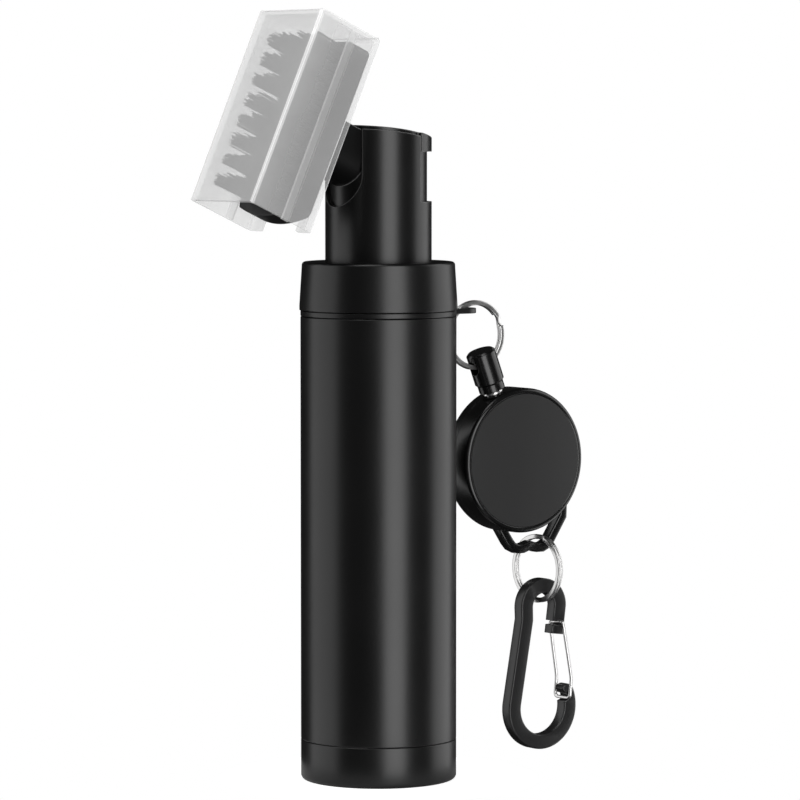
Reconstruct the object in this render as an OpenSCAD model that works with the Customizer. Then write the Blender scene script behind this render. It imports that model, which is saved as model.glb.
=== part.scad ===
// Press-pump cleaning brush: a refillable water bottle with a brush head under a clear cover,
// and a retractable reel with a snap clip that hangs from an ear under its collar.
// Origin at the centre of the resting face, +Z up, the brush towards -X and the reel towards +X.

/* [Bottle] */
// Outside diameter of the bottle
body_d = 44; // [42:0.5:46]
// Height of the bottom cap
base_h = 11.5; // [9:0.5:14]
// Height of the top of the outer sleeve
sleeve_top = 131.1; // [125:0.1:131.1]
// Rounding of the bottom edge
base_edge = 2.4; // [1:0.1:3]
// Wall of the outer sleeve
sleeve_wall = 1.4; // [1.2:0.1:1.4]

/* [Hanger ring] */
// Thickness of the hanger ring
hanger_t = 1.5; // [1.2:0.1:1.5]
// Width of its ear
ear_w = 10; // [9:0.5:12]
// How far the ear's tip is from the bottle's axis
ear_tip = 33; // [33:0.1:34]
// Diameter of the ear's hole
ear_hole_d = 6.2; // [6:0.1:6.4]
// Distance of the ear's hole from the bottle's axis
ear_hole_x = 28.4; // [28.3:0.1:28.5]

/* [Collar] */
// Height of the screw collar
collar_h = 13.8; // [13.8:0.1:14.4]
// Diameter at the collar's foot
collar_d = 44.6; // [43:0.1:46]
// Diameter at the collar's top
collar_top_d = 43; // [41:0.1:44]

/* [Pump neck] */
// Outside diameter of the neck
neck_d = 30; // [29:0.5:30]
// Inside diameter of the neck
neck_bore = 27.5; // [27.5:0.1:27.8]
// Height of the neck's rim at the front
rim_front_z = 185; // [184:0.1:186]
// Height of the neck's rim at the back
rim_back_z = 180.4; // [179:0.1:181]
// Radius of the rim's arch, seen from the side
rim_arch_r = 130; // [100:5:200]
// Lowest point of the front notch
notch_z = 162; // [161:0.1:163]
// Half the width of the front notch
notch_r = 9; // [8.9:0.1:9.2]
// Height of the sill of the rear window
window_z = 163.4; // [162:0.1:165]
// Half the angle that the rear window takes up
window_half = 73; // [65:1:75]
// Travel of the pump
stroke = 5.5; // [3:0.1:5.5]

/* [Brush] */
// Lean of the brush back from the bottle's axis
head_tilt = 24.35; // [22:0.05:26]
// Half the width of the arm that carries the brush
arm_r = 8.6; // [8:0.1:8.7]
// Width, length and thickness of the brush back
brush_size = [27.6, 52.6, 6]; // [4:0.1:60]
// Rows of tufts along the brush
tuft_rows = 8; // [6:1:9]
// Tufts across the brush
tuft_columns = 5; // [3:1:5]
// Diameter of one tuft
tuft_d = 3.4; // [2:0.1:4]
// Free length of the tufts
tuft_len = 11; // [8:0.1:11.2]

/* [Cover] */
// Depth, width and length of the brush cover, outside
cover_size = [22, 31, 58]; // [20:0.5:62]
// Wall of the brush cover
cover_wall = 1.2; // [1:0.1:1.3]
// Half the width of the slot that lets the arm through
slot_r = 8.8; // [8.7:0.1:9]

/* [Split rings] */
// Outside radius of a split ring
ring_r = 10; // [9.8:0.1:10]
// Wire width, across the ring's band
ring_band = 1.4; // [1.2:0.1:1.5]
// Thickness of the two turns together
ring_t = 1.9; // [1.6:0.1:2]

/* [Reel] */
// Lean of the hanging reel from the vertical
chain_tilt = 21.2; // [20:0.1:22]
// Distance from the upper ring's centre to the reel's centre
reel_drop = 39; // [39:0.1:40]
// Radius of the reel case
reel_r = 20.9; // [20:0.1:20.9]
// Thickness of the reel case
reel_t = 11; // [11:0.1:13]
// Diameter of the cord stop
stop_d = 8.6; // [8:0.1:9]
// Diameter of the reel's cord
cord_d = 0.8; // [0.6:0.1:1]

/* [Snap clip] */
// Thickness of the snap clip
clip_t = 3.9; // [3.4:0.1:4.2]
// Width of its bar
clip_bar = 4.3; // [4:0.1:4.4]
// Diameter of the gate's wire
gate_wire = 1; // [0.8:0.1:1.1]

/* [Hidden] */
$fn = 96;
body_r = body_d / 2;
gap = 0.1;                                  // running gap between faces that turn or slide

// bottle and its mouth
bottle_r = body_r - sleeve_wall - 1.2;      // the inner bottle leaves room for the cap's spigot
bottle_wall = 1;
bottle_floor = 3.2;
shoulder_z = 126;
mouth_r = 17;                               // outside of the bottle's mouth, plain in place of its thread
mouth_bore = 15.2;
mouth_z = 143;

// hanger ring and collar
hanger_z = sleeve_top + gap;
collar_z = hanger_z + hanger_t + gap;
collar_top = collar_z + collar_h;
running = 0.08;                             // radial clearance of parts that turn on the mouth

// pump parts inside the neck
gasket_t = 0.5;
flange_z = mouth_z + gasket_t;
flange_t = 1.2;
flange_r = 16.7;
neck_r = neck_d / 2;
neck_floor_t = 2;
cylinder_r = 7.9;
cylinder_bore = 6.3;
cylinder_low = 112;
cylinder_cap_z = flange_z + neck_floor_t;
stem_r = 3;
stem_bore = 1.2;
stem_low = 136;
stem_top = 168;
seat_z = 111;
ball_r = 2.2;
tube_r = 2.5;
tube_bore = 1.7;
tube_low = 6;
tube_top = 109;
spring_r = 4.4;
spring_wire = 0.9;
spring_turns = 6;
spring_low = 115.2;
spring_high = 133.4;

// the rim's arch: a wide cylinder laid across the neck
rim_slope = atan((rim_front_z - rim_back_z) / neck_d);
rim_chord = norm([neck_d, rim_front_z - rim_back_z]) / 2;
arch_sag = sqrt(rim_arch_r * rim_arch_r - rim_chord * rim_chord);
arch_x = -arch_sag * sin(rim_slope);
arch_z = (rim_front_z + rim_back_z) / 2 - arch_sag * cos(rim_slope);
head_r = neck_bore / 2 - running;           // the press head runs inside the neck
head_wall = 1.3;
head_low = 157;
plate_t = 1.8;
lip_z = 177.4;

// the cover's own frame: its foot's centre, x towards the neck and z along the brush
cover_foot = [-43.2, 0, 159.8];
// the arm's lowest and highest place along the brush: at full stroke it stops just above the notch's foot
arm_low = (notch_z + stroke + 0.25 - cover_foot[2] - (neck_bore / 2 + cover_foot[0]) * tan(head_tilt))
    * cos(head_tilt);
arm_high = 34.6;
cover_in = [cover_size[0] - 2 * cover_wall, cover_size[1] - 2 * cover_wall];
rib_x = [1.1, 3.4];
rib_h = 0.9;
brush_face = 3.6;                           // the face that the tufts grow from
brush_low = 1.8;
tuft_pitch = 6.1;

// hanging parts
ring_in = ring_r - ring_band;
bridge = [(ear_hole_x + ear_hole_d / 2 + ear_tip) / 2, hanger_z + hanger_t / 2];
ring_hang = 7.4;                            // from the ear's bridge to the ring's centre
ring_lean = 12.4;
ring_c = [bridge[0] + ring_hang * sin(ring_lean), 0, bridge[1] - ring_hang * cos(ring_lean)];
stop_top = -5;
stop_low = -17;
stop_hole_z = -8.9;
stop_hole_d = 4;
reel_half = reel_t / 2;
shell_wall = 1.2;
seam_y = 1.2;                               // where the two halves of the reel's case meet
ferrule_r = 2.3;
ferrule_top = -17.3;
ferrule_low = -19.9;
drum_r = 10;
spool_r = 16.6;
spool_half = 3;
flange_half = 0.7;
wound_r = 12.6;
axle_r = 2;
bail_w = 2.6;
bail_t = 3.8;
bail_foot = [55.6, 61.9];                   // the bail hangs upright whatever the reel's lean
bail_leg = [[11.3, 17.5], [12, 13], [11.9, 8.9], [7.6, 2.4], [6.3, 0.9], [4.6, 0.1], [2.5, 0.1]];
lower_ring_c = [59, 3.2, 55.8];
lower_ring_turn = 6;
clip_c = [59.66, 3.2, 15.1];               // centre of the clip's lower bend
clip_low_r = 10.1;
clip_eye = [0.35, 29.6];
clip_eye_r = 6.05;
clip_waist = [-5.6, 26];
nose_end = [5.3, 21.2];
knob_angle = 26;
gate_pivot = [9.4, 1.5];
gate_bar = [6.2, 24.7];
gate_half = 3.1;

function arc(c, r, from, to, n) =
    [for (i = [0:n]) let (a = from + (to - from) * i / n) [c[0] + r * cos(a), c[1] + r * sin(a)]];

// the direction square to a path at one of its points
function square_to(p, i) =
    let (a = p[max(i - 1, 0)], b = p[min(i + 1, len(p) - 1)], d = (b - a) / norm(b - a)) [-d[1], d[0]];

// the outline of a bar of width w along a path, its far end flat or round
function bar_outline(p, w, round_end = false) =
    let (n = len(p), side = square_to(p, n - 1), ahead = [side[1], -side[0]]) concat(
        [for (i = [0:n - 1]) p[i] + square_to(p, i) * w / 2],
        round_end ? [for (a = [75:-15:-75]) p[n - 1] + w / 2 * (sin(a) * side + cos(a) * ahead)] : [],
        [for (i = [n - 1:-1:0]) p[i] - square_to(p, i) * w / 2]);

// a tube that follows points in space, with flat ends
module swept(points, r, sides) {
    n = len(points);
    function aim(i) = let (d = points[min(i + 1, n - 1)] - points[max(i - 1, 0)]) d / norm(d);
    function across(i) = let (c = cross(aim(i), [0.02, 1, 0.01])) c / norm(c);
    rings = [for (i = [0:n - 1], s = [0:sides - 1])
        let (u = across(i), v = cross(aim(i), u), a = 360 * s / sides)
            points[i] + r * (cos(a) * u + sin(a) * v)];
    walls = [for (i = [0:n - 2], s = [0:sides - 1])
        let (t = (s + 1) % sides) [i * sides + s, i * sides + t, (i + 1) * sides + t, (i + 1) * sides + s]];
    polyhedron(rings, concat([[for (s = [sides - 1:-1:0]) s]], walls,
                             [[for (s = [0:sides - 1]) (n - 1) * sides + s]]), convexity = 8);
}

module ring(r_out, r_in, z_low, z_high) {
    translate([0, 0, z_low]) difference() {
        cylinder(r = r_out, h = z_high - z_low);
        translate([0, 0, -1]) cylinder(r = r_in, h = z_high - z_low + 2);
    }
}

// a block with round corners, seen along z
module round_plate(size, r) {
    linear_extrude(size[2], center = true) hull()
        for (x = [-1, 1], y = [-1, 1])
            translate([x * (size[0] / 2 - r), y * (size[1] / 2 - r)]) circle(r = r, $fn = 32);
}

// a slot across x with half-round bottom, from z_low up to z_high
module slot_x(r, z_low, z_high, length) {
    rotate([90, 0, 90]) linear_extrude(length, center = true) {
        translate([0, z_low + r]) circle(r = r);
        translate([-r, z_low + r]) square([2 * r, z_high - z_low - r]);
    }
}

// everything under the arch, lowered by drop
module under_arch(drop) {
    translate([arch_x, 0, arch_z]) rotate([90, 0, 0])
        cylinder(r = rim_arch_r - drop, h = 80, center = true, $fn = 360);
}

module at_cover() translate(cover_foot) rotate([0, head_tilt, 0]) children();
module at_chain() translate(ring_c) rotate([0, -chain_tilt, 0]) children();
module at_reel() at_chain() translate([0, 0, -reel_drop]) rotate([90, 0, 0]) children();
module at_clip() translate(clip_c) rotate([90, 0, 0]) children();

// ---------- bottle ----------

module base_cap() {
    color("#1b1b1d") {
        difference() {
            rotate_extrude() {
                translate([0, base_edge]) square([body_r, base_h - base_edge]);
                square([body_r - base_edge, base_edge]);
                translate([body_r - base_edge, base_edge]) intersection() {
                    circle(r = base_edge);
                    translate([0, -base_edge]) square(base_edge);
                }
            }
            translate([0, 0, 2.4]) cylinder(r = body_r - sleeve_wall - 0.05 - 1.05, h = base_h);
        }
        ring(body_r - sleeve_wall - 0.05, body_r - sleeve_wall - 1.1, base_h - 0.5, base_h + 6);
    }
}

module outer_sleeve() {
    color("#1d1d1f") {
        ring(body_r, body_r - sleeve_wall, base_h, sleeve_top);
        ring(body_r - sleeve_wall + 0.1, mouth_r + 0.3, sleeve_top - 1.4, sleeve_top);
    }
}

module inner_bottle() {
    color("#3a3b3d") rotate_extrude() polygon([
        [0, bottle_floor], [bottle_r, bottle_floor], [bottle_r, shoulder_z], [mouth_r, sleeve_top - 1.6],
        [mouth_r, mouth_z], [mouth_bore, mouth_z], [mouth_bore, sleeve_top - 2.6],
        [bottle_r - bottle_wall, shoulder_z - 0.6], [bottle_r - bottle_wall, bottle_floor + bottle_wall],
        [0, bottle_floor + bottle_wall]]);
}

module hanger_ring() {
    color("#19191b") difference() {
        union() {
            translate([0, 0, hanger_z]) cylinder(r = body_r, h = hanger_t);
            translate([0, -ear_w / 2, hanger_z]) cube([ear_tip - ear_w / 2, ear_w, hanger_t]);
            translate([ear_tip - ear_w / 2, 0, hanger_z]) cylinder(d = ear_w, h = hanger_t);
        }
        translate([0, 0, hanger_z - 1]) cylinder(r = mouth_r + running, h = hanger_t + 2);
        translate([ear_hole_x, 0, hanger_z - 1]) cylinder(d = ear_hole_d, h = hanger_t + 2);
    }
}

module screw_collar() {
    edge = 1;
    lip_r = neck_r + 0.35;
    color("#1a1a1c") difference() {
        rotate_extrude() {
            polygon([[mouth_r + running, collar_z], [collar_d / 2, collar_z],
                     [collar_top_d / 2, collar_top - edge], [collar_top_d / 2 - edge, collar_top],
                     [neck_r + 2, collar_top - 0.5], [lip_r + 0.6, collar_top - 1], [lip_r, collar_top - 1],
                     [lip_r, flange_z + flange_t + gap], [mouth_r + running, flange_z + flange_t + gap]]);
            translate([collar_top_d / 2 - edge, collar_top - edge]) circle(r = edge, $fn = 48);
        }
        ring(collar_top_d / 2 - 1.6, mouth_r + 2, collar_z - 1, collar_top - 3);
    }
}

// ---------- head: what the collar holds on the mouth ----------

module neck_gasket() {
    color("#c9c9c4") ring(mouth_r - 0.3, mouth_bore + 0.3, mouth_z, flange_z);
}

module neck_shroud() {
    color("#1c1c1e") difference() {
        union() {
            intersection() {
                ring(neck_r, neck_bore / 2, flange_z, rim_front_z + 3);
                under_arch(1);
            }
            ring(flange_r, neck_bore / 2, flange_z, flange_z + flange_t);
            ring(neck_r - 0.5, cylinder_r + 0.05, flange_z, flange_z + neck_floor_t);
        }
        intersection() {
            slot_x(notch_r, notch_z, rim_front_z + 5, 80);
            translate([-40, -20, 0]) cube([40, 40, 250]);
        }
        rotate([0, 0, -window_half]) rotate_extrude(angle = 2 * window_half)
            translate([neck_bore / 2 - 2, window_z]) square([6, 40]);
    }
}

module pump_cylinder() {
    color("#d8d8d4") difference() {
        union() {
            translate([0, 0, cylinder_low]) cylinder(r = cylinder_r, h = cylinder_cap_z - cylinder_low);
            translate([0, 0, cylinder_cap_z]) cylinder(r = cylinder_r + 2.6, h = 1.2);
            translate([0, 0, tube_top - 7]) cylinder(r = tube_r + 1.6, h = cylinder_low - tube_top + 8);
        }
        translate([0, 0, seat_z + 4]) cylinder(r = cylinder_bore, h = 60);
        translate([0, 0, seat_z]) cylinder(r = ball_r + 0.5, h = 20);
        translate([0, 0, tube_top - 8]) cylinder(r = tube_r + 0.02, h = 8);
        translate([0, 0, tube_top - 1]) cylinder(r = ball_r - 0.6, h = 10);
    }
}

module stem_guide() {
    color("#d8d8d4") {
        ring(cylinder_bore - 0.05, stem_r + running, cylinder_cap_z - 3, cylinder_cap_z + 1.3);
        ring(cylinder_r + 2.6, stem_r + running, cylinder_cap_z + 1.3, cylinder_cap_z + 2.6);
    }
}

module dip_tube() {
    color("#e4e4e0") ring(tube_r, tube_bore, tube_low, tube_top - 1.2);
}

module inlet_ball() {
    drop = sqrt(ball_r * ball_r - (ball_r - 0.6) * (ball_r - 0.6));
    color("#c8ccd0") translate([0, 0, seat_z + drop + 0.02]) sphere(r = ball_r);
}

// ---------- plunger: the press head and what moves with it ----------

module press_head() {
    color("#1b1b1d") difference() {
        union() {
            intersection() {
                union() {
                    translate([0, 0, head_low]) cylinder(r = head_r, h = 60);
                    rotate([0, 0, -window_half + 2]) rotate_extrude(angle = 2 * (window_half - 2))
                        translate([head_r - 0.5, lip_z]) square([neck_r - head_r + 0.5, 30]);
                }
                under_arch(0);
            }
            arm();
        }
        difference() {
            intersection() {
                translate([0, 0, head_low - 1]) cylinder(r = head_r - head_wall, h = 60);
                under_arch(plate_t);
            }
            translate([0, 0, head_low]) cylinder(r = stem_r + 2.4, h = 60);
        }
        translate([0, 0, head_low - 1]) cylinder(r = stem_r + 0.02, h = stem_top - head_low + 1);
        channel();
    }
}

// the arm, from inside the head to the back of the brush
module arm() {
    length = 30;
    intersection() {
        at_cover() translate([brush_face + brush_size[2] + length / 2, 0, 0]) intersection() {
            slot_x(arm_r, arm_low, arm_high, length);
            translate([-length, -arm_r - 1, 0]) cube([2 * length, 2 * arm_r + 2, arm_high]);
        }
        difference() {
            translate([-60, -20, head_low]) cube([60, 40, 60]);
            translate([0, 0, head_low - 1]) cylinder(r = head_r - 1, h = 80);
        }
    }
}

// the water's way from the stem through the arm to the nozzle
module channel() {
    translate([0, 0, stem_top - 0.5]) cylinder(r = stem_bore, h = 6.5);
    at_cover() translate([0, 0, 31]) rotate([0, 90, 0]) cylinder(r = stem_bore, h = 42);
}

module piston_stem() {
    color("#d8d8d4") ring(stem_r, stem_bore, stem_low, stem_top - 0.02);
}

module piston_seal() {
    color("#55585c") rotate_extrude() polygon([
        [stem_bore, spring_high + 0.05], [cylinder_bore - 1.2, spring_high + 0.05],
        [cylinder_bore - running, spring_high + 0.05],
        [cylinder_bore - running, spring_high + 1.2], [cylinder_bore - 0.6, spring_high + 1.6],
        [cylinder_bore - running, stem_low + 3.3], [cylinder_bore - 1.2, stem_low + 3.3],
        [stem_r + 1.2, stem_low + 1], [stem_r + 0.02, stem_low + 1], [stem_r + 0.02, stem_low - 0.02],
        [stem_bore, stem_low - 0.02]]);
}

module pump_spring() {
    steps = spring_turns * 12;
    color("#b8bcc0") swept([for (i = [0:steps])
        let (a = 360 * spring_turns * i / steps,
             z = spring_low + spring_wire / 2 + (spring_high - spring_low - spring_wire) * i / steps)
            [spring_r * cos(a), spring_r * sin(a), z]], spring_wire / 2, 8);
}

module brush_base() {
    end_r = 38;
    top = brush_low + brush_size[1];
    color("#18181a") at_cover() difference() {
        translate([brush_face, 0, 0]) rotate([90, 0, 90]) linear_extrude(brush_size[2]) intersection() {
            hull() for (y = [-1, 1], z = [brush_low + 5, top - 3])
                translate([y * (brush_size[0] / 2 - (z > 20 ? 3 : 5)), z]) circle(r = z > 20 ? 3 : 5, $fn = 48);
            translate([0, brush_low + end_r]) circle(r = end_r + 0.01);
        }
        translate([brush_face - 1, 0, 31]) rotate([0, 90, 0]) cylinder(r = 1.9, h = 5.2);
        translate([brush_face + 2, 0, 31]) rotate([0, 90, 0]) cylinder(r = stem_bore, h = 10);
    }
}

module nozzle() {
    color("#2a2a2c") at_cover() translate([brush_face - 2, 0, 31]) rotate([0, 90, 0])
        difference() {
            cylinder(r = 1.85, h = 6);
            translate([0, 0, -1]) cylinder(r = 0.8, h = 8);
        }
}

module bristle_tufts() {
    first = brush_low + (brush_size[1] - (tuft_rows - 1) * tuft_pitch) / 2;
    across = (brush_size[0] - 5) / tuft_columns;
    color("#2b2b2d") at_cover() for (row = [0:tuft_rows - 1], col = [0:tuft_columns - 1]) {
        y = (col - (tuft_columns - 1) / 2) * across;
        z = first + row * tuft_pitch;
        if (norm([y, z - 31]) > tuft_d / 2 + 2.2)
            translate([brush_face, y, z]) rotate([0, -90, 0]) cylinder(d = tuft_d, h = tuft_len, $fn = 24);
    }
}

// ---------- cover ----------

module brush_cover() {
    color([0.86, 0.87, 0.88, 0.55]) at_cover() difference() {
        translate([0, 0, cover_size[2] / 2]) round_plate([cover_size[0], cover_size[1], cover_size[2]], 1.2);
        difference() {
            translate([0, 0, cover_size[2] / 2 - cover_wall])
                round_plate([cover_in[0], cover_in[1], cover_size[2]], 0.8);
            for (side = [-1, 1])
                translate([rib_x[0], side * cover_in[1] / 2 - rib_h, -1])
                    cube([rib_x[1] - rib_x[0], 2 * rib_h, cover_size[2]]);
        }
        translate([cover_size[0] / 2 - cover_wall - 1, -slot_r, -1])
            cube([cover_wall + 2, 2 * slot_r, arm_high + 1.8]);
    }
}

// ---------- hanging parts ----------

// two turns of spring wire, pressed together
module split_ring() {
    for (side = [-1, 1])
        translate([0, 0, side * ring_t / 4]) rotate_extrude()
            translate([(ring_r + ring_in) / 2, 0]) square([ring_band, ring_t / 2 - 0.03], center = true);
    rotate([0, 0, 26]) translate([(ring_r + ring_in) / 2, 0, 0]) cube([ring_band - 0.5, 2, 0.4], center = true);
}

module upper_split_ring() {
    color("#b9bcc0") translate(ring_c) rotate([90, 0, 0]) split_ring();
}

module lower_split_ring() {
    color("#b9bcc0") translate(lower_ring_c) rotate([0, 90, lower_ring_turn]) split_ring();
}

module cord_stop() {
    color("#1a1a1c") at_chain() difference() {
        rotate_extrude() polygon([
            [0, stop_low], [stop_d / 2 - 0.5, stop_low], [stop_d / 2 - 0.5, stop_low + 2.2],
            [stop_d / 2, stop_low + 2.7], [stop_d / 2, stop_top - 0.6], [stop_d / 2 - 0.6, stop_top], [0, stop_top]]);
        translate([0, 0, stop_hole_z]) rotate([0, 90, 0]) cylinder(d = stop_hole_d, h = 20, center = true);
        translate([0, 0, stop_low - 1]) cylinder(r = cord_d / 2 + 0.15, h = 12);
        translate([0, 0, stop_low + 1.4]) cylinder(r = 1.5, h = 3.2);
    }
}

module cord_knot() {
    color("#101012") at_chain() {
        translate([0, 0, stop_low + 3]) sphere(r = 1.35);
        translate([0, 0, ferrule_top - 0.4]) cylinder(d = cord_d, h = 3);
    }
}

module reel_half_case(y_face, y_seam) {
    low = min(y_face, y_seam);
    high = max(y_face, y_seam);
    outer = y_face < y_seam ? low + shell_wall : high - shell_wall;
    at_reel() difference() {
        translate([0, 0, -high]) cylinder(r = reel_r, h = high - low);
        translate([0, 0, y_face < y_seam ? -high - 1 : -outer])
            cylinder(r = reel_r - shell_wall, h = high - low - shell_wall + 1);
        translate([0, reel_r, 0]) rotate([90, 0, 0]) cylinder(r = ferrule_r + 0.02, h = 8, center = true);
    }
}

// the loop under the reel, moulded with the back shell
module bail() {
    path = concat([for (p = bail_leg) [-p[0], p[1]]], [[0, 0.9]],
                  [for (i = [len(bail_leg) - 1:-1:0]) bail_leg[i]]);
    difference() {
        translate([bail_foot[0], reel_half, bail_foot[1]]) rotate([90, 0, 0])
            linear_extrude(bail_t) polygon(bar_outline(path, bail_w));
        at_reel() cylinder(r = reel_r - shell_wall / 2, h = 2 * reel_t, center = true);
    }
}

module reel_front_cover() {
    color("#2b2b2c") difference() {
        reel_half_case(-reel_half, seam_y);
        at_reel() translate([0, 0, reel_half - 0.25]) ring(reel_r - 0.9, reel_r - 1.3, 0, 1);
    }
}

module reel_back_shell() {
    color("#1a1a1c") {
        reel_half_case(reel_half, seam_y);
        at_reel() translate([0, 0, -reel_half + 0.6]) cylinder(r = 3.6, h = 1.2);
        bail();
    }
}

module reel_axle() {
    color("#b0b3b8") at_reel() translate([0, 0, -reel_half + shell_wall + 0.6])
        cylinder(r = axle_r, h = reel_t - 2 * shell_wall - 0.6);
}

module reel_ferrule() {
    color("#d0d3d6") at_chain() difference() {
        rotate_extrude() polygon([
            [cord_d / 2 + 0.2, ferrule_low], [ferrule_r, ferrule_low], [ferrule_r, ferrule_top - 0.5],
            [ferrule_r + 0.6, ferrule_top - 0.5], [ferrule_r + 0.4, ferrule_top], [cord_d / 2 + 0.5, ferrule_top],
            [cord_d / 2 + 0.2, ferrule_top - 0.4]]);
    }
}

module spool() {
    color("#39393c") at_reel() difference() {
        union() {
            cylinder(r = drum_r, h = 2 * spool_half, center = true);
            for (side = [-1, 1]) translate([0, 0, side * (spool_half - flange_half / 2)])
                cylinder(r = spool_r, h = flange_half, center = true);
        }
        cylinder(r = axle_r + running, h = 20, center = true);
        translate([0, 0, -spool_half + 0.8]) cylinder(r = drum_r - 1.2, h = 10);
    }
}

module power_spring() {
    turns = 6;
    steps = turns * 20;
    path = [for (i = [0:steps]) let (a = 360 * turns * i / steps, r = 3 + 5.4 * i / steps)
        [r * cos(a), r * sin(a)]];
    color("#9a9da2") at_reel() translate([0, 0, -spool_half + 1])
        linear_extrude(2 * spool_half - 1.2) polygon(bar_outline(path, 0.25));
}

module wound_cord() {
    color("#101012") at_reel() ring(wound_r, drum_r + 0.02, -spool_half + flange_half + 0.05,
                                    spool_half - flange_half - 0.05);
}

module cord_run() {
    reach = reel_drop + ferrule_low;
    turn = acos(wound_r / reach);
    from = [0, -0.3, ferrule_low - 0.1];
    to = [(wound_r + 0.5) * sin(turn), -0.3, -reel_drop + (wound_r + 0.5) * cos(turn)];
    color("#101012") at_chain() swept([from, (from + to) / 2, to], cord_d / 2, 8);
}

function clip_path() = concat(
    [nose_end],
    arc(clip_eye, clip_eye_r, 0, 180, 24),
    [clip_waist],
    arc([0, 0], clip_low_r, 170, 360 + knob_angle, 30));

// the notch opens inwards, so that the gate's bar can leave it
module clip_body() {
    notch = [7, 1.85];
    color("#1c1c1e") at_clip() difference() {
        translate([0, 0, -clip_t / 2]) linear_extrude(clip_t)
            polygon(bar_outline(clip_path(), clip_bar, round_end = true));
        translate([gate_bar[0] + gate_wire / 2 + 0.15 - notch[0],
                   gate_bar[1] + gate_wire / 2 + 0.1 - notch[1], -6]) cube([notch[0], notch[1], 12]);
        translate([gate_pivot[0], gate_pivot[1], 0]) cylinder(d = gate_wire + 0.1, h = 12, center = true);
    }
}

module wire_gate() {
    lean = gate_bar - gate_pivot;
    r = gate_wire / 2;
    color("#c4c7ca") at_clip() {
        for (side = [-1, 1])
            translate([gate_pivot[0], gate_pivot[1], side * gate_half])
                rotate([0, 0, atan2(lean[1], lean[0])]) translate([-0.45, 0, 0]) rotate([0, 90, 0])
                    cylinder(r = r - 0.02, h = norm(lean) + 0.9);
        for (p = [gate_pivot, gate_bar])
            translate([p[0], p[1], 0]) cylinder(r = r, h = 2 * gate_half + 0.9, center = true);
    }
}

base_cap();
outer_sleeve();
inner_bottle();
hanger_ring();
screw_collar();
neck_gasket();
neck_shroud();
pump_cylinder();
stem_guide();
dip_tube();
inlet_ball();
press_head();
piston_stem();
piston_seal();
pump_spring();
brush_base();
nozzle();
bristle_tufts();
brush_cover();
upper_split_ring();
cord_stop();
cord_knot();
reel_front_cover();
reel_back_shell();
reel_axle();
reel_ferrule();
spool();
power_spring();
wound_cord();
cord_run();
lower_split_ring();
clip_body();
wire_gate();
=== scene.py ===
import bpy
import bmesh
from math import cos, pi, radians, sin, sqrt
from mathutils import Matrix, Vector


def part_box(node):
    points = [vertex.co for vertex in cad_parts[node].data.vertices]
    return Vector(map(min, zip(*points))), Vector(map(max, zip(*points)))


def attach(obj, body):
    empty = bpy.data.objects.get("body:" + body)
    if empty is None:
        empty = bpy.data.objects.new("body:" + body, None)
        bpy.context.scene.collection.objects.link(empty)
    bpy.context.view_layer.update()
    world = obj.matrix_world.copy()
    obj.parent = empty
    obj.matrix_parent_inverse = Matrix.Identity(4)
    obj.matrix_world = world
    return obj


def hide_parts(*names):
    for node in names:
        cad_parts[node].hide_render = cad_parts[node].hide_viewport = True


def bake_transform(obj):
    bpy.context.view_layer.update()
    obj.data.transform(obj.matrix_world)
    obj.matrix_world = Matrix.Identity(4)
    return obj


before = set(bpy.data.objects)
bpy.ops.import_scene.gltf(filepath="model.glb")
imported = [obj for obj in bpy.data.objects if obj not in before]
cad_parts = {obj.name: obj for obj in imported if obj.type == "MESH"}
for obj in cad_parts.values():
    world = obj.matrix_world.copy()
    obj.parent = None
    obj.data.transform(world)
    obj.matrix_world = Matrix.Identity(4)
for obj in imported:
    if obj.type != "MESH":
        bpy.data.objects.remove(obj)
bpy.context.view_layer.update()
MM = 0.001

# ---------------------------------------------------------------- floor, light and camera
# A small white disc in a white room that the plastic hardly mirrors. Three tall softboxes draw
# the bands on the black plastic: one to the left, one beside the camera and one behind to the
# right. A fourth box, high up, lights the tops.

view_turn = radians(-35.5)
view_drop = radians(3.77)
to_camera = Vector((cos(view_drop) * sin(view_turn), -cos(view_drop) * cos(view_turn), sin(view_drop)))
camera_distance = 1.2135
aim = Vector((4.94, -3.53, 107.38)) * MM

lens = bpy.data.cameras.new("camera")
lens.lens = 193.5
lens.sensor_width = 36
lens.clip_start = 0.05
lens.clip_end = 30
camera = bpy.data.objects.new("camera", lens)
bpy.context.scene.collection.objects.link(camera)
camera.location = aim + to_camera * camera_distance
camera.rotation_euler = to_camera.to_track_quat("Z", "Y").to_euler()
bpy.context.scene.camera = camera

bottle_middle = 0.11


def softbox(name, turn, height, distance, size, power):
    """A box of light so many degrees to the right of the camera, which faces the bottle's middle."""
    lamp = bpy.data.lights.new(name, "AREA")
    lamp.shape = "RECTANGLE"
    lamp.size, lamp.size_y = size
    lamp.energy = power
    placed = bpy.data.objects.new(name, lamp)
    bpy.context.scene.collection.objects.link(placed)
    across = view_turn + radians(turn)
    away = Vector((sin(across) * distance, -cos(across) * distance, height - bottle_middle))
    placed.location = Vector((0, 0, bottle_middle)) + away
    placed.rotation_euler = away.to_track_quat("Z", "Y").to_euler()


softbox("left_box", -90, bottle_middle, 0.9, (0.95, 1.6), 5.0)
softbox("camera_box", 24.5, bottle_middle, 1.0, (0.56, 1.6), 9.4)
softbox("back_box", 110, bottle_middle, 0.9, (0.75, 1.6), 5.6)
softbox("top_box", -60, 1.2, 0.5, (0.9, 0.9), 8.0)

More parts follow.
